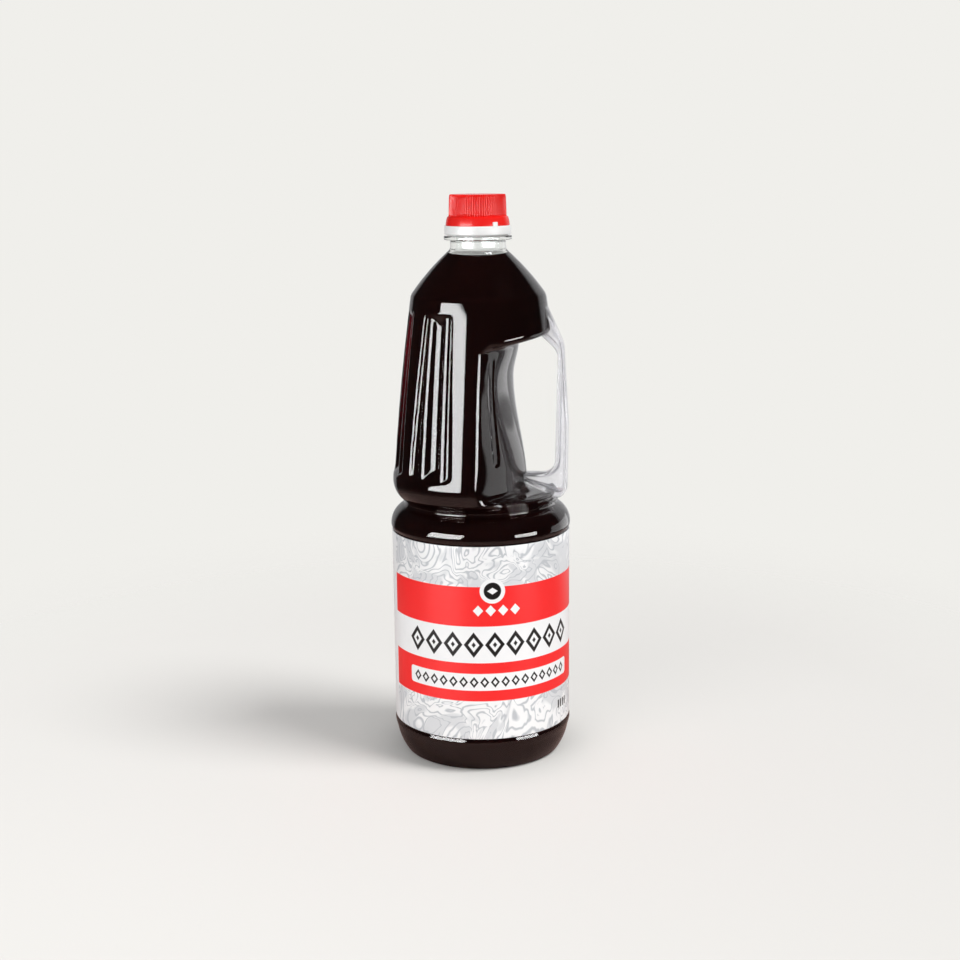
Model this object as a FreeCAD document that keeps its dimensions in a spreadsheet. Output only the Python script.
import FreeCAD, Part
import math
import os

import Sketcher

# A family-size bottle of table sauce: a clear blow-moulded PET bottle with a handle moulded into its
# side, the sauce in it, a snap-on pouring ring, a knurled screw cap and a wrapped label film.
# The frame has +Z up from the surface that the bottle stands on, the bottle's axis on Z and the
# handle on +X. Lengths are in millimetres and angles in degrees.

V = FreeCAD.Vector
doc = FreeCAD.newDocument("handle_bottle")

SIZES = [
    # the turned form: base, label panel, bulge, waist and lobe
    ("wall", 0.9, "thickness of the blown wall"),
    ("push_up", 7.0, "rise of the base's hollow at its centre"),
    ("push_up_round", 130.0, "radius of the base's hollow"),
    ("panel_radius", 52.2, "label panel"),
    ("ring_in", 12.7, "how far inside the label panel the standing ring starts"),
    ("ring_round", 1.8, "rounding of the standing ring's two edges"),
    ("heel_round", 33.0, "radius of the heel between ring and label panel"),
    ("heel_top", 19.4, "height where the heel meets the label panel"),
    ("step_round", 1.0, "hollow at the top of the label panel"),
    ("bulge_out", 0.8, "how far the bottle's widest place stands over the label panel"),
    ("bulge_height", 138.5, "height of the widest place"),
    ("bulge_under", 4.0, "rounding of the bulge below its widest place"),
    ("bulge_over", 12.0, "rounding of the bulge above its widest place"),
    ("waist_round", 2.2, "root of the groove above the bulge"),
    ("lobe_in", 0.8, "how far the lower end of the grip part is inside the label panel"),
    ("lobe_rise", 26.5, "height of the lobe's widest place over the bulge's"),
    ("lobe_round", 15.0, "rounding of the lobe"),
    # the turned form: cone, shoulder and neck
    ("cone_round", 1580.0, "slight crown of the long cone"),
    ("cone_in", 12.1, "how far the cone draws in up to the shoulder"),
    ("cone_rise", 105.1, "height of the cone, from the lobe to its turn into the shoulder"),
    ("shoulder_round", 6.0, "rounding of that turn"),
    ("dome_round", 140.0, "crown of the shoulder"),
    ("dome_rise", 29.4, "height of the shoulder, up to where it has become the neck"),
    ("neck_radius", 16.0, "neck under the support ring"),
    ("neck_round", 3.0, "hollow between shoulder and neck"),
    ("neck_rise", 4.1, "height of the neck up to the support ring"),
    ("support_out", 3.5, "how far the support ring stands over the neck"),
    ("support_thick", 2.1, "thickness of the support ring"),
    ("finish_in", 1.5, "how far the mouth that the cap goes over is inside the neck"),
    ("finish_rise", 18.3, "height of the mouth over the support ring"),
    ("finish_wall", 1.7, "thickness of the mouth's wall"),
    ("fill_under", 4.8, "distance of the sauce's level from the end of the shoulder"),
    # the recess for the hand
    ("ceiling_under", 24.5, "distance of the recess's top from the shoulder, at its deepest place"),
    ("ceiling_slope", 0.2, "rise of the recess's top for each millimetre outwards"),
    ("sill_under", 8.0, "distance of the recess's bottom from the lobe's widest place"),
    ("edge_round", 4.5, "rounding of the recess's edge"),
    ("ceiling_round", 6.0, "hollow between the recess's back and its top"),
    ("sill_round", 4.0, "hollow between the recess's back and its bottom"),
    ("nose_depth", 21.0, "distance of the recess's back from the axis, at its deepest"),
    ("nose_under", 20.6, "distance of the deepest place from the recess's top"),
    ("nose_rise", 22.0, "height from the deepest place to the full upper flare"),
    ("nose_flare_over", 3.8, "how far the back comes out towards the ceiling"),
    ("nose_drop", 62.0, "height from the deepest place to the full lower flare"),
    ("nose_flare_under", 8.6, "how far the back comes out towards the sill"),
    ("flank_depth", 7.7, "distance of the recess's two side edges from the axis plane"),
    ("flank_turn", 20.0, "radius of the side edges' turn into the sill"),
    ("groove_side", 33.3, "distance of the two finger grooves from the handle's plane"),
    ("groove_rise", 50.5, "height of their middle over the sill"),
    ("groove_length", 60.0, "their length"),
    ("groove_width", 5.0, "their width"),
    ("groove_depth", 1.2, "their depth"),
    # the fluted panels that let the bottle give as it empties
    ("flute_over", 4.0, "lower end of the fluted panels, over the lobe's widest place"),
    ("flute_under", 8.1, "upper end of the fluted panels, under the shoulder"),
    ("flute_angle", 15.9, "half of the angle that one panel takes up"),
    ("flute_pitch", 10.7, "angle from one flute to the next, and from panel to panel"),
    ("flute_count", 4, "number of panels"),
    ("crest_depth", 1.0, "depth of the ribs' crests under the cone"),
    ("valley_depth", 2.7, "depth of the valleys under the cone"),
    ("flute_run", 2.8, "run of a panel's sloped ends for each millimetre of depth"),
    ("flute_corner", 3.0, "rounding of a panel's corners"),
    # the handle
    ("grip_width", 11.0, "width of the handle"),
    ("flange", 1.5, "thickness of the handle's flanges"),
    ("web", 2.0, "thickness of the handle's web"),
    ("grip_out", 0.5, "how far the handle stands out over the lobe"),
    ("grip_rise", 40.0, "height over the sill where it stands out most"),
    ("grip_crown", 40.0, "crown of the handle there"),
    ("grip_thick", 5.3, "thickness of the handle's bar at the top of the finger gap"),
    ("grip_thick_low", 6.7, "thickness of the handle's bar at the bottom of the finger gap"),
    ("gap_round", 9.5, "rounding of the finger gap's two corners"),
    ("gap_over", 11.0, "bottom of the finger gap over the sill"),
    ("foot_under", 2.5, "lowest place of the handle, under the sill"),
    ("foot_in", 0.7, "how far the handle's foot is inside its widest place"),
    ("foot_round", 5.0, "outer corner of the foot"),
    ("foot_sunk", 3.6, "how deep the foot reaches into the bottle's back wall"),
    ("foot_lift", 8.0, "rise of the foot's underside to its inner end"),
    ("arm_sunk", 5.4, "how deep the upper arm reaches into the bottle's shoulder"),
    ("arm_over", 3.0, "height of the arm's inner end over the recess's top"),
    ("arm_out", 0.1, "how far the arm's top stands out over the shoulder's turn"),
    ("arm_under", 3.6, "distance of the upper arm's top from the shoulder"),
    ("knuckle_under", 6.1, "distance of the bend towards the arm from the recess's top"),
    ("knuckle_in", 2.4, "how far that bend is inside the handle's widest place"),
    ("knuckle_round", 20.0, "rounding of that bend"),
    ("end_round", 0.9, "rounding of the handle's ends in the wall"),
    ("seat_gap", 0.1, "clearance of the handle in its seats"),
    # the label
    ("label_over", 1.5, "lower edge of the label over the heel"),
    ("label_under", 3.5, "upper edge of the label under the bulge's widest place"),
    ("label_gap", 0.1, "air between the film and the panel"),
    ("film", 0.2, "thickness of the label film"),
    # the pouring ring and the cap
    ("collar_in", 0.4, "how far the pouring ring is inside the support ring"),
    ("collar_over", 0.7, "underside of the pouring ring's rim over the support ring"),
    ("collar_rise", 5.8, "top of the pouring ring, on which the cap sits, over the support ring"),
    ("collar_step", 1.7, "how far the lip that rests on the support ring is inside the rim"),
    ("collar_edge", 0.5, "rounding of the ring's outer edges"),
    ("tab_angle", 38.6, "turn of the tear tab from the side that lies right of the handle"),
    ("tab_width", 3.4, "width of the tear tab"),
    ("tab_rise", 1.7, "height of the tear tab over the ring"),
    ("tab_depth", 1.6, "thickness of the tear tab"),
    ("cap_gap", 0.25, "clearance of the cap and the ring round the mouth"),
    ("cap_plate", 5.0, "thickness of the cap's top over the mouth"),
    ("cap_wall", 1.85, "thickness of the cap's wall at the lower end of its ribs"),
    ("cap_taper", 0.5, "how far the cap draws in up to its top"),
    ("skirt_in", 0.7, "how far the cap's skirt is inside the pouring ring"),
    ("skirt_rise", 5.4, "height of the smooth skirt, up to where the ribs begin"),
    ("cap_edge", 0.9, "rounding of the cap's upper edge"),
    ("rib_count", 84, "number of ribs round the cap"),
    ("rib_depth", 0.85, "depth of the grooves between the ribs, at their lower end"),
    ("rib_over", 0.4, "lower end of the grooves over the skirt"),
    ("rib_open", 0.75, "half the width of a groove where it leaves the cap"),
]

# What follows from the sizes above.
PLACES = [
    ("ring_inner", "panel_radius - ring_in"),
    ("bulge_radius", "panel_radius + bulge_out"),
    ("lobe_radius", "panel_radius - lobe_in"),
    ("lobe_height", "bulge_height + lobe_rise"),
    ("shoulder_radius", "lobe_radius - cone_in"),
    ("shoulder_height", "lobe_height + cone_rise"),
    ("neck_height", "shoulder_height + dome_rise"),
    ("support_radius", "neck_radius + support_out"),
    ("support_bottom", "neck_height + neck_rise"),
    ("support_top", "support_bottom + support_thick"),
    ("finish_radius", "neck_radius - finish_in"),
    ("finish_top", "support_top + finish_rise"),
    ("bore_radius", "finish_radius - finish_wall"),
    ("fill_height", "neck_height - fill_under"),
    ("ceiling_height", "shoulder_height - ceiling_under"),
    ("sill_height", "lobe_height - sill_under"),
    ("nose_height", "ceiling_height - nose_under"),
    ("groove_height", "sill_height + groove_rise"),
    ("flute_bottom", "lobe_height + flute_over"),
    ("flute_top", "shoulder_height - flute_under"),
    ("grip_outer", "lobe_radius + grip_out"),
    ("grip_height", "sill_height + grip_rise"),
    ("grip_inner", "grip_outer - grip_thick"),
    ("grip_inner_low", "grip_outer - grip_thick_low"),
    ("foot_top", "sill_height + gap_over"),
    ("foot_bottom", "sill_height - foot_under"),
    ("foot_outer", "grip_outer - foot_in"),
    ("foot_reach", "nose_depth + nose_flare_under - foot_sunk"),
    ("foot_inner", "foot_bottom + foot_lift"),
    ("arm_tip", "shoulder_radius + arm_out"),
    ("arm_reach", "arm_tip - arm_sunk"),
    ("arm_low", "ceiling_height + (arm_reach - nose_depth) * ceiling_slope + arm_over"),
    ("arm_top", "shoulder_height - arm_under"),
    ("knuckle_height", "ceiling_height - knuckle_under"),
    ("knuckle_out", "grip_outer - knuckle_in"),
    ("label_bottom", "heel_top + label_over"),
    ("label_top", "bulge_height - label_under"),
    ("collar_radius", "support_radius - collar_in"),
    ("collar_bottom", "support_top + collar_over"),
    ("collar_top", "support_top + collar_rise"),
    ("collar_lip", "collar_radius - collar_step"),
    ("mouth_room", "finish_radius + cap_gap"),
    ("cap_low_radius", "mouth_room + cap_wall"),
    ("cap_top_radius", "cap_low_radius - cap_taper"),
    ("cap_top", "finish_top + cap_plate"),
    ("skirt_radius", "collar_radius - skirt_in"),
    ("skirt_top", "collar_top + skirt_rise"),
    ("rib_root", "cap_low_radius - rib_depth"),
    ("rib_low", "skirt_top + rib_over"),
]


class Size(float):
    """A number from the sheet, or worked out from several, that keeps its expression as text."""

    def __new__(cls, value, text=None):
        size = super().__new__(cls, value)
        size.text = text or repr(float(value))
        return size

    def __add__(self, other):
        return Size(float(self) + float(other), f"({self.text} + {Size.of(other)})")

    def __sub__(self, other):
        return Size(float(self) - float(other), f"({self.text} - {Size.of(other)})")

    def __mul__(self, other):
        return Size(float(self) * float(other), f"({self.text} * {Size.of(other)})")

    def __truediv__(self, other):
        return Size(float(self) / float(other), f"({self.text} / {Size.of(other)})")

    def __neg__(self):
        return Size(-float(self), f"(0 - {self.text})")

    @staticmethod
    def of(other):
        return other.text if isinstance(other, Size) else repr(float(other))


class Sheet:
    """The spreadsheet of driving dimensions, read by name."""

    def __init__(self, sizes, places):
        self.page = doc.addObject("Spreadsheet::Sheet", "Sizes")
        rows = [(alias, str(value), meaning) for alias, value, meaning in sizes]
        rows += [(alias, "=" + formula, formula.replace("_", " ")) for alias, formula in places]
        for line, (alias, content, meaning) in enumerate(rows, start=1):
            self.page.set(f"A{line}", meaning)
            self.page.set(f"B{line}", content)
            self.page.setAlias(f"B{line}", alias)
        doc.recompute()
        for alias, _, _ in rows:
            setattr(self, alias, Size(self.page.get(alias), f"Sizes.{alias}"))


s = Sheet(SIZES, PLACES)


# ---- Outlines drawn as a belt over pulleys -------------------------------------------------------
# A pulley is (across, up, radius, turn). The belt has the material on its left. It turns left round
# a pulley inside the material (turn 1) and right round one outside it (turn -1), and runs straight
# between two pulleys along the line that touches both. Two pulleys that touch have no straight run.

OUTWARD = 1
HOLLOW = -1


def inset(pulleys, skin):
    """The same belt, moved into the material by skin."""
    return [(across, up, radius - turn * skin, turn) for across, up, radius, turn in pulleys]


def touching(first, second):
    """The two points where the straight run between two pulleys leaves one and reaches the other."""
    (ax, az, ar, a_turn), (bx, bz, br, b_turn) = first, second
    length = math.hypot(bx - ax, bz - az)
    along = ((bx - ax) / length, (bz - az) / length)
    lean = max(-1.0, min(1.0, (b_turn * br - a_turn * ar) / length))
    upright = math.sqrt(1.0 - lean * lean)
    left = (lean * along[0] - upright * along[1], lean * along[1] + upright * along[0])
    leave = (ax - a_turn * ar * left[0], az - a_turn * ar * left[1])
    reach = (bx - b_turn * br * left[0], bz - b_turn * br * left[1])
    return leave, reach


class Pen:
    """Draws the edges of an outline one after another, each from where the last one ended."""

    def __init__(self, start):
        self.start = self.place = start
        self.edges = []

    def line(self, end):
        """A straight run, or nothing where the pen already is there."""
        if math.dist(self.place, end) > 1e-4:
            self.edges.append(Part.LineSegment(flat(self.place), flat(end)).toShape())
            self.place = end

    def arc(self, pulley, end):
        """The way round a pulley, or nothing where the belt only touches it."""
        across, up, radius, turn = pulley
        begin = math.atan2(self.place[1] - up, self.place[0] - across)
        sweep = (math.atan2(end[1] - up, end[0] - across) - begin) * turn % (2 * math.pi)
        if radius * min(sweep, 2 * math.pi - sweep) > 1e-4:
            middle = begin + turn * sweep / 2
            halfway = (across + radius * math.cos(middle), up + radius * math.sin(middle))
            self.edges.append(Part.Arc(flat(self.place), flat(halfway), flat(end)).toShape())
            self.place = end

    def face(self):
        """The face inside the outline, which ends where it started."""
        return Part.Face(Part.Wire(self.edges))


def flat(point):
    """A point of an outline, in the plane of the handle."""
    return V(point[0], 0, point[1])


def closed_belt(pulleys):
    """A face inside a belt that goes round and comes back."""
    count = len(pulleys)
    runs = [touching(pulleys[i], pulleys[(i + 1) % count]) for i in range(count)]
    pen = Pen(runs[-1][1])
    for pulley, run in zip(pulleys[:-1], runs[:-1]):
        pen.arc(pulley, run[0])
        pen.line(run[1])
    pen.arc(pulleys[-1], runs[-1][0])
    pen.line(pen.start)
    return pen.face()


def half_section(start, pulleys, finish):
    """A face between the axis and a belt that starts on the axis and ends in a chain of corners."""
    pen = Pen(start)
    for pulley, following in zip(pulleys, pulleys[1:]):
        leave, reach = touching(pulley, following)
        pen.arc(pulley, leave)
        pen.line(reach)
    last = pulleys[-1]
    pen.arc(last, (last[0] - last[2], last[1]))
    for corner in finish + [(0, finish[-1][1]), start]:
        pen.line(corner)
    return pen.face()


def between(first, first_distance, second, second_distance, side):
    """The point at the two distances from two pulleys' centres, on the left (1) or right (-1)."""
    length = math.dist(first[:2], second[:2])
    along = ((second[0] - first[0]) / length, (second[1] - first[1]) / length)
    run = (first_distance ** 2 - second_distance ** 2 + length ** 2) / (2 * length)
    off = side * math.sqrt(first_distance ** 2 - run ** 2)
    return (first[0] + run * along[0] - off * along[1], first[1] + run * along[1] + off * along[0])


# ---- The turned form of the bottle ---------------------------------------------------------------

def turned_pulleys():
    """The belt of the bottle's half section, from the base's hollow to the foot of the neck."""
    hollow = (0, s.push_up - s.push_up_round, s.push_up_round, HOLLOW)
    ring_in = (s.ring_inner + s.ring_round, s.ring_round, s.ring_round, OUTWARD)
    heel = (s.panel_radius - s.heel_round, s.heel_top, s.heel_round, OUTWARD)
    rolled = math.sqrt((s.heel_round - s.ring_round) ** 2 - (s.heel_top - s.ring_round) ** 2)
    ring_out = (heel[0] + rolled, s.ring_round, s.ring_round, OUTWARD)
    under = (s.bulge_radius - s.bulge_under, s.bulge_height, s.bulge_under, OUTWARD)
    step_across = s.panel_radius + s.step_round
    step_drop = math.sqrt((s.bulge_under + s.step_round) ** 2 - (step_across - under[0]) ** 2)
    step = (step_across, s.bulge_height - step_drop, s.step_round, HOLLOW)
    over = (s.bulge_radius - s.bulge_over, s.bulge_height, s.bulge_over, OUTWARD)
    lobe = (s.lobe_radius - s.lobe_round, s.lobe_height, s.lobe_round, OUTWARD)
    waist = between(over, s.bulge_over + s.waist_round, lobe, s.lobe_round + s.waist_round, -1)
    turn = (s.shoulder_radius - s.shoulder_round, s.shoulder_height, s.shoulder_round, OUTWARD)
    cone = between(lobe, s.cone_round - s.lobe_round, turn, s.cone_round - s.shoulder_round, 1)
    neck = (s.neck_radius + s.neck_round, s.neck_height, s.neck_round, HOLLOW)
    dome = between(turn, s.dome_round - s.shoulder_round, neck, s.dome_round + s.neck_round, 1)
    return [
        hollow, ring_in, ring_out, heel, step, under, over,
        (*waist, s.waist_round, HOLLOW), lobe, (*cone, s.cone_round, OUTWARD), turn,
        (*dome, s.dome_round, OUTWARD), neck,
    ]


CONE = turned_pulleys()[9]


def cone_radius(height):
    """Radius of the long cone at a height."""
    return CONE[0] + math.sqrt(CONE[2] ** 2 - (height - CONE[1]) ** 2)


def turned(skin):
    """The turned solid: the bottle's outside, or with a skin the space inside its wall."""
    if skin:
        finish = [(s.bore_radius, s.support_bottom), (s.bore_radius, s.finish_top + 1)]
    else:
        finish = [
            (s.neck_radius, s.support_bottom), (s.support_radius, s.support_bottom),
            (s.support_radius, s.support_top), (s.finish_radius, s.support_top),
            (s.finish_radius, s.finish_top),
        ]
    section = half_section((0, s.push_up + skin), inset(turned_pulleys(), skin), finish)
    return section.revolve(V(0, 0, 0), V(0, 0, 1), 360)


# ---- The recess for the hand ---------------------------------------------------------------------

CLEAR = 12.0       # how far a tool that cuts the bottle reaches past it
BACK_SIDE = 10.0   # how far the plans of the recess's back reach past the cone
BACK_STEPS = 5     # plans of the recess's back between the flanks' turn and the ceiling
BACK_END = 6.0     # distance of the last of them from the ceiling
TURN_SHARE = 0.96  # share of the flanks' turn that is kept, short of where it would lie level


def eased(part):
    """A smooth step from 0 to 1."""
    part = max(0.0, min(1.0, part))
    return part * part * (3 - 2 * part)


def nose_line(height):
    """Distance of the recess's back from the axis, in the plane of the handle."""
    over = s.nose_flare_over * eased((height - s.nose_height) / s.nose_rise)
    under = s.nose_flare_under * eased((s.nose_height - height) / s.nose_drop)
    return s.nose_depth + over + under


def flank_line(height):
    """Distance of the recess's side edges from the plane across the handle."""
    way = max(0.0, s.sill_height + s.flank_turn - height)
    turn = s.flank_turn - math.sqrt(s.flank_turn ** 2 - min(way, TURN_SHARE * s.flank_turn) ** 2)
    return s.flank_depth + turn


def back_section(height, skin):
    """The bottle's plan at a height of the recess: a crowned back, and a box round the rest."""
    half = cone_radius(height) + BACK_SIDE
    edge = math.sqrt(cone_radius(height) ** 2 - s.flank_depth ** 2)
    nose = nose_line(height)
    fall = (nose - flank_line(height)) * (half / edge) ** 2
    ends = [V(nose - fall - skin, side * half, height) for side in (-1, 1)]
    crown = Part.Arc(ends[0], V(nose - skin, 0, height), ends[1]).toShape()
    corners = [ends[1], V(-2 * half, half, height), V(-2 * half, -half, height), ends[0]]
    sides = [Part.LineSegment(a, b).toShape() for a, b in zip(corners, corners[1:])]
    return Part.Wire([crown] + sides)


def back(skin):
    """A block whose front is the recess's back, from under the sill to over the ceiling."""
    turn = s.flank_turn
    rise = (s.ceiling_height - s.sill_height - turn - BACK_END) / BACK_STEPS
    rises = [-0.15 * turn, 0.1 * turn, 0.35 * turn, 0.65 * turn, turn]
    rises += [turn + step * rise for step in range(1, BACK_STEPS + 1)]
    heights = [s.sill_height + rise for rise in rises] + [s.ceiling_height + CLEAR]
    return Part.makeLoft([back_section(float(height), skin) for height in heights], True)


def upright_face(corners):
    """A face with straight sides in the plane of the handle."""
    pen = Pen(corners[0])
    for corner in corners[1:] + corners[:1]:
        pen.line(corner)
    return pen.face()


def ceiling_at(across, skin):
    """Height of the recess's top at a distance from the axis."""
    slope = float(s.ceiling_slope)
    return s.ceiling_height + (across - s.nose_depth) * slope + skin * math.hypot(1, slope)


def on_both(edge, first, second):
    """Whether the middle of an edge lies on two surfaces."""
    middle = Part.Vertex(edge.valueAt((edge.FirstParameter + edge.LastParameter) / 2))
    return all(shape.distToShape(middle)[0] < 0.001 for shape in (first, second))


def hand_room(skin):
    """What the recess takes out of the turned solid."""
    far = 2 * s.bulge_radius
    sill = s.sill_height - skin
    side = upright_face([(0, sill), (far, sill), (far, ceiling_at(far, skin)), (0, ceiling_at(0, skin))])
    block = side.extrude(V(0, 2 * far, 0))
    block.translate(V(0, -far, 0))
    front = back(skin)
    room = block.cut(front)
    for upward, radius in ((1, s.ceiling_round), (-1, s.sill_round)):
        level = [face for face in room.Faces if face.normalAt(0, 0).z * upward > 0.5]
        outsides = [Part.makeCompound(faces) for faces in (level, front.Faces)]
        room = room.makeFillet(radius + skin, [e for e in room.Edges if on_both(e, *outsides)])
    return room


def finger_grooves(skin):
    """The two upright grooves in the recess's back."""
    radius = s.groove_width / 2 + skin
    rise = (s.groove_length - s.groove_width) / 2
    reach = s.nose_depth + 2 * CLEAR
    floor = back(skin + s.groove_depth)
    grooves = []
    for side in (-1, 1):
        across = side * s.groove_side
        low, high = s.groove_height - rise, s.groove_height + rise
        bar = Part.makeCylinder(radius, reach, V(0, across, low), V(1, 0, 0))
        bar = bar.fuse(Part.makeCylinder(radius, reach, V(0, across, high), V(1, 0, 0)))
        bar = bar.fuse(Part.makeBox(reach, 2 * radius, 2 * rise, V(0, across - radius, low)))
        grooves.append(bar.removeSplitter().cut(floor))
    return grooves


def recessed(skin):
    """The turned solid with the recess for the hand, its edge rounded, and the finger grooves."""
    whole = turned(skin)
    room = hand_room(skin)
    body = whole.cut(room)
    outsides = [Part.makeCompound(solid.Faces) for solid in (whole, room)]
    edges = [edge for edge in body.Edges if on_both(edge, *outsides)]
    body = body.makeFillet(s.edge_round - skin, edges)
    for groove in finger_grooves(skin):
        body = body.cut(groove)
    return body


# ---- The fluted panels ---------------------------------------------------------------------------

OVER = 1.5    # how far the tool of a panel stands over the cone
UNDER = 6.0   # how far it reaches into the cone, past the deepest valley
BRIM = 2.0    # degrees by which the waved floor is wider than its panel, on each side
NARROW = 0.6  # degrees by which the outer valleys lie nearer to the panel's sides


def polar(radius, angle, height):
    """A point at a radius, a turn from the handle and a height."""
    turn = math.radians(angle)
    return V(radius * math.cos(turn), radius * math.sin(turn), height)


def wave_section(height, skin):
    """The flutes' waved floor at a height, closed outside the cone, with its middle on the handle's
    side."""
    surface = cone_radius(height) - skin
    half = float(s.flute_pitch) / 2
    side = float(s.flute_angle)
    brim = side + BRIM
    outer_valley = (2 * half + side) / 2 + NARROW
    waves = [(outer_valley, s.valley_depth), (2 * half, s.crest_depth), (half, s.valley_depth)]
    right = [(brim, -OVER)] + waves
    floor = [(-angle, depth) for angle, depth in right] + [(0, s.crest_depth)] + right[::-1]
    curve = Part.BSplineCurve()
    curve.interpolate([polar(surface - depth, angle, height) for angle, depth in floor])
    outside = surface + UNDER
    corners = [polar(surface + OVER, brim, height), polar(outside, brim, height),
               polar(outside, -brim, height), polar(surface + OVER, -brim, height)]
    sides = [Part.LineSegment(a, b).toShape() for a, b in zip(corners, corners[1:])]
    return Part.Wire([curve.toShape()] + sides)


def panel_frame(skin):
    """The room of one fluted panel: sloped ends, upright sides and rounded corners."""
    run = float(s.flute_run)
    grow = skin * math.hypot(1, run)
    low, high = s.flute_bottom - grow, s.flute_top + grow
    side = upright_face([
        (cone_radius(s.flute_bottom) + OVER, low - OVER * run),
        (cone_radius(s.flute_top) + OVER, high + OVER * run),
        (cone_radius(s.flute_top) - UNDER, high - UNDER * run),
        (cone_radius(s.flute_bottom) - UNDER, low + UNDER * run),
    ])
    half = s.flute_angle + math.degrees(skin / cone_radius(s.flute_bottom))
    side.rotate(V(0, 0, 0), V(0, 0, 1), -float(half))
    frame = side.revolve(V(0, 0, 0), V(0, 0, 1), 2 * float(half))
    corners = [edge for edge in frame.Edges if edge.Curve.TypeId == "Part::GeomLine"
               and abs(edge.Vertexes[0].Z - edge.Vertexes[-1].Z) < 0.5 * (high - low)]
    return frame.makeFillet(s.flute_corner + skin, corners)


def fluted_panel(skin):
    """What one fluted panel takes out of the bottle, turned to the handle's side."""
    heights = [s.flute_bottom - CLEAR, (s.flute_bottom + s.flute_top) / 2, s.flute_top + CLEAR]
    waves = Part.makeLoft([wave_section(float(height), skin) for height in heights], True)
    return waves.common(panel_frame(skin))


def panel_angles():
    """The turn of each fluted panel from the handle."""
    apart = 2 * s.flute_angle + s.flute_pitch
    first = 180 - apart * (s.flute_count - 1) / 2
    return [float(first + apart * number) for number in range(int(s.flute_count))]


# ---- The handle ----------------------------------------------------------------------------------

def handle_pulleys():
    """The belt of the handle's side view, with both ends reaching into the bottle's wall."""
    end = s.end_round
    gap = s.gap_round
    return [
        (s.arm_reach + end, s.arm_low + end, end, OUTWARD),
        (s.grip_inner - gap, s.ceiling_height - gap, gap, HOLLOW),
        (s.grip_inner_low - gap, s.foot_top + gap, gap, HOLLOW),
        (s.foot_reach + end, s.foot_top - end, end, OUTWARD),
        (s.foot_reach + end, s.foot_inner + end, end, OUTWARD),
        (s.foot_outer - s.foot_round, s.foot_bottom + s.foot_round, s.foot_round, OUTWARD),
        (s.grip_outer - s.grip_crown, s.grip_height, s.grip_crown, OUTWARD),
        (s.knuckle_out - s.knuckle_round, s.knuckle_height, s.knuckle_round, OUTWARD),
        (s.arm_tip - end, s.arm_top - end, end, OUTWARD),
        (s.arm_reach + end, s.arm_top - end, end, OUTWARD),
    ]


def handle_block(face, width):
    """A face of the handle's side view, thickened evenly to both sides."""
    block = face.extrude(V(0, width, 0))
    block.translate(V(0, -width / 2, 0))
    return block


def seats(skin):
    """The room of the handle with its clearance, and with a skin that of the wall round it."""
    grow = s.seat_gap + skin
    return handle_block(closed_belt(inset(handle_pulleys(), -grow)), s.grip_width + 2 * grow)


# ---- The bottle, its sauce and the handle as objects of the document -----------------------------

def feature(name, shape):
    """An object of the document that holds a shape."""
    made = doc.addObject("Part::Feature", name)
    made.Shape = shape
    return made


def formed(name, skin):
    """The bottle's outside, or with a skin the space inside its wall, as a cut of two objects."""
    panel = fluted_panel(skin)
    cutters = [seats(skin)]
    for angle in panel_angles():
        turned_panel = panel.copy()
        turned_panel.rotate(V(0, 0, 0), V(0, 0, 1), angle)
        cutters.append(turned_panel)
    cut = doc.addObject("Part::Cut", name)
    cut.Base = feature(name + "_turned", recessed(skin))
    cut.Tool = feature(name + "_recesses", Part.makeCompound(cutters))
    return cut


def cut_apart(name, base, tool):
    """A cut of two objects of the document, labelled as a sub-part."""
    cut = doc.addObject("Part::Cut", name)
    cut.Base = base
    cut.Tool = tool
    cut.Label = name
    return cut


def make_bottle_and_sauce():
    """The blown bottle, and the sauce that fills it up to its level."""
    space = formed("space", float(s.wall))
    bottle = cut_apart("bottle", formed("outside", 0.0), space)
    below = doc.addObject("Part::Cylinder", "below_level")
    below.setExpression("Radius", "Sizes.bulge_radius")
    below.setExpression("Height", "Sizes.fill_height")
    sauce = doc.addObject("Part::Common", "sauce")
    sauce.Base = space
    sauce.Tool = below
    sauce.Label = "sauce"
    return bottle, sauce


def side_view(name, face, width):
    """A face of the handle's side view as an object, thickened to both sides of the handle's plane."""
    solid = doc.addObject("Part::Extrusion", name)
    solid.Base = feature(name + "_outline", face)
    solid.DirMode = "Custom"
    solid.Dir = V(0, 1, 0)
    solid.setExpression("LengthFwd", width.text)
    solid.Symmetric = True
    solid.Solid = True
    return solid


def make_handle():
    """The handle: a frame of flanges round its whole side view, closed by a thin web."""
    frame = cut_apart(
        "flanges",
        side_view("grip", closed_belt(handle_pulleys()), s.grip_width),
        side_view("grip_pockets", closed_belt(inset(handle_pulleys(), s.flange)), s.grip_width + 2),
    )
    web = side_view("grip_web", closed_belt(inset(handle_pulleys(), s.flange / 2)), s.web)
    handle = doc.addObject("Part::Fuse", "handle")
    handle.Base = frame
    handle.Tool = web
    handle.Refine = True
    handle.Label = "handle"
    return handle


# ---- Turned pieces as PartDesign bodies ----------------------------------------------------------

def origin_plane(body, role):
    """One of a body's own origin planes."""
    return next(plane for plane in body.Origin.OriginFeatures if plane.Role == role)


def hold(sketch, edge, kind, size):
    """Hold the start of an edge to the sheet by its distance from one axis."""
    if float(size) == 0.0:
        axis = -2 if kind == "DistanceX" else -1
        sketch.addConstraint(Sketcher.Constraint("PointOnObject", edge, 1, axis))
        return
    number = sketch.addConstraint(Sketcher.Constraint(kind, -1, 1, edge, 1, float(size)))
    label = f"{kind.lower()}_{edge}"
    sketch.renameConstraint(number, label)
    sketch.setExpression(f"Constraints.{label}", size.text)


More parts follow.
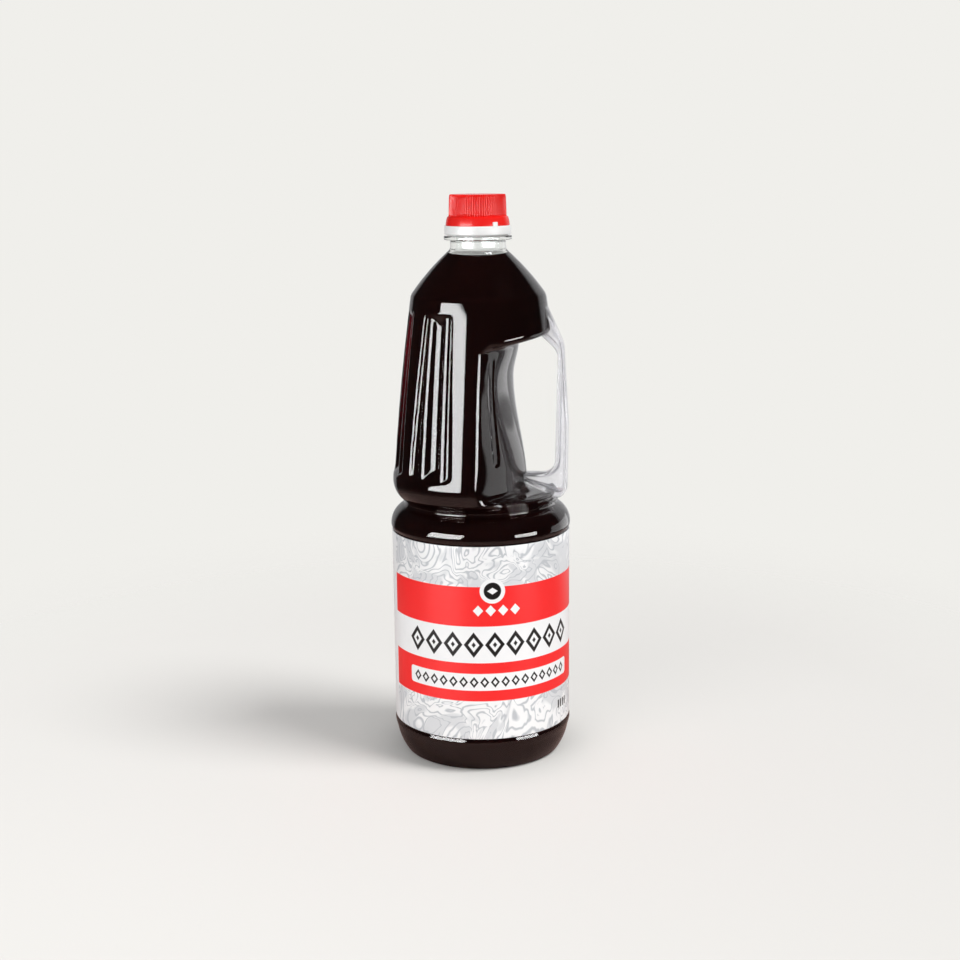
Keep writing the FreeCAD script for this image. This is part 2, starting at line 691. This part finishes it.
def drawn(body, name, role, corners):
    """A closed sketch of straight sides, each corner held to the sheet by its two distances."""
    sketch = body.newObject("Sketcher::SketchObject", name)
    sketch.AttachmentSupport = (origin_plane(body, role), "")
    sketch.MapMode = "FlatFace"
    count = len(corners)
    for number in range(count):
        start, end = corners[number], corners[(number + 1) % count]
        sketch.addGeometry(Part.LineSegment(V(*start, 0), V(*end, 0)), False)
    for number in range(count):
        sketch.addConstraint(Sketcher.Constraint("Coincident", number, 2, (number + 1) % count, 1))
    for number, (across, up) in enumerate(corners):
        hold(sketch, number, "DistanceX", across)
        hold(sketch, number, "DistanceY", up)
    return sketch


def lathe(name, corners):
    """A body turned about the bottle's axis from the corners of its half section."""
    body = doc.addObject("PartDesign::Body", name)
    body.Label = name
    profile = drawn(body, name + "_section", "XZ_Plane", corners)
    turned_form = body.newObject("PartDesign::Revolution", name + "_turned")
    turned_form.Profile = profile
    turned_form.ReferenceAxis = (profile, ["V_Axis"])
    turned_form.Angle = 360
    profile.Visibility = False
    doc.recompute()
    return body


def rounded(body, name, radius, places):
    """Round the circular edges of a body that lie at the given radii and heights."""
    base = body.Tip
    names = []
    for number, edge in enumerate(base.Shape.Edges, start=1):
        if edge.Curve.TypeId != "Part::GeomCircle":
            continue
        centre, reach = edge.Curve.Center, edge.Curve.Radius
        if any(abs(reach - across) < 0.01 and abs(centre.z - up) < 0.01 for across, up in places):
            names.append(f"Edge{number}")
    fillet = body.newObject("PartDesign::Fillet", name)
    fillet.Base = (base, names)
    fillet.setExpression("Radius", radius.text)
    doc.recompute()


ZERO = Size(0.0)


def make_label():
    """The wrapped film round the label panel."""
    inner = s.panel_radius + s.label_gap
    outer = inner + s.film
    return lathe("label", [
        (inner, s.label_bottom), (outer, s.label_bottom), (outer, s.label_top), (inner, s.label_top),
    ])


def tab_box(body, name, grow):
    """The plan of the tear tab, or of the notch for it, before it is turned to its place."""
    half = s.tab_width / 2 + grow
    outer = s.collar_radius + grow
    inner = s.collar_radius - s.tab_depth - grow
    return drawn(body, name, "XY_Plane", [(-half, inner), (half, inner), (half, outer), (-half, outer)])


def raised(body, kind, name, profile, start, length):
    """A pad or pocket from a height upwards."""
    profile.setExpression("AttachmentOffset.Base.z", start.text)
    made = body.newObject(f"PartDesign::{kind}", name)
    made.Profile = profile
    made.setExpression("Length", length.text)
    made.Reversed = kind == "Pocket"
    doc.recompute()
    return made


def make_collar():
    """The white pouring ring that is snapped on the mouth, with its tear tab."""
    inner = s.mouth_room
    collar = lathe("collar", [
        (inner, s.support_top), (s.collar_lip, s.support_top), (s.collar_lip, s.collar_bottom),
        (s.collar_radius, s.collar_bottom), (s.collar_radius, s.collar_top), (inner, s.collar_top),
    ])
    rounded(collar, "collar_edges", s.collar_edge,
            [(s.collar_radius, s.collar_bottom), (s.collar_radius, s.collar_top)])
    sunk = s.collar_edge * 2
    raised(collar, "Pad", "tear_tab", tab_box(collar, "tab_plan", ZERO),
           s.collar_top - sunk, s.tab_rise + sunk)
    return collar


def make_cap():
    """The red screw cap: a smooth flared skirt, a ribbed wall and a flat top over the mouth."""
    inner = s.mouth_room
    cap = lathe("cap", [
        (inner, s.collar_top), (s.skirt_radius, s.collar_top), (s.cap_low_radius, s.skirt_top),
        (s.cap_top_radius, s.cap_top), (ZERO, s.cap_top), (ZERO, s.finish_top), (inner, s.finish_top),
    ])
    rounded(cap, "cap_upper_edge", s.cap_edge, [(s.cap_top_radius, s.cap_top)])
    gap = s.seat_gap * 1.5
    notch = raised(cap, "Pocket", "tab_notch", tab_box(cap, "notch_plan", gap),
                   s.collar_top, s.tab_rise + gap)
    groove_plan = drawn(cap, "groove_plan", "XY_Plane", [
        (s.rib_root, ZERO), (s.cap_low_radius + 1, -s.rib_open), (s.cap_low_radius + 1, s.rib_open),
    ])
    groove = raised(cap, "Pocket", "groove", groove_plan, s.rib_low, s.cap_top - s.rib_low)
    ring = cap.newObject("PartDesign::PolarPattern", "grooves")
    ring.Originals = [groove]
    ring.Axis = (groove_plan, ["N_Axis"])
    ring.Angle = 360
    ring.setExpression("Occurrences", s.rib_count.text)
    cap.Tip = ring
    doc.recompute()
    expect_less(notch, groove, ring)
    return cap


def expect_less(*cuts):
    """Refuse a cut that took nothing away from the one before it."""
    for before, after in zip(cuts, cuts[1:]):
        if after.Shape.Volume > before.Shape.Volume - 0.01:
            raise SystemExit(f"{after.Name} takes nothing away")


def turn_to_tab(body):
    """Turn the pouring ring or the cap so that the tear tab is where it belongs."""
    from_back = s.tab_angle - 180
    body.Placement = FreeCAD.Placement(V(0, 0, 0), FreeCAD.Rotation(V(0, 0, 1), float(from_back)))
    body.setExpression("Placement.Rotation.Angle", from_back.text)


# ---- Build, check and write ----------------------------------------------------------------------

bottle, sauce = make_bottle_and_sauce()
handle = make_handle()
label = make_label()
collar = make_collar()
cap = make_cap()
turn_to_tab(collar)
turn_to_tab(cap)
doc.recompute()

failed = [item.Name for item in doc.Objects if "Invalid" in item.State or "Error" in item.State]
if failed:
    raise SystemExit(f"failed objects: {failed}")

sub_parts = [bottle, sauce, handle, label, collar, cap]
for item in sub_parts:
    if item.Shape.isNull() or not item.Shape.isValid() or len(item.Shape.Solids) != 1:
        raise SystemExit(f"{item.Label} is not one valid solid")

os.makedirs("parts", exist_ok=True)
for item in sub_parts:
    item.Shape.exportStep(f"parts/{item.Label}.step")
    box = item.Shape.BoundBox
    print(f"{item.Label}: {item.Shape.Volume / 1000:.1f} cm3, {len(item.Shape.Faces)} faces, "
          f"height {box.ZMin:.1f} to {box.ZMax:.1f}")
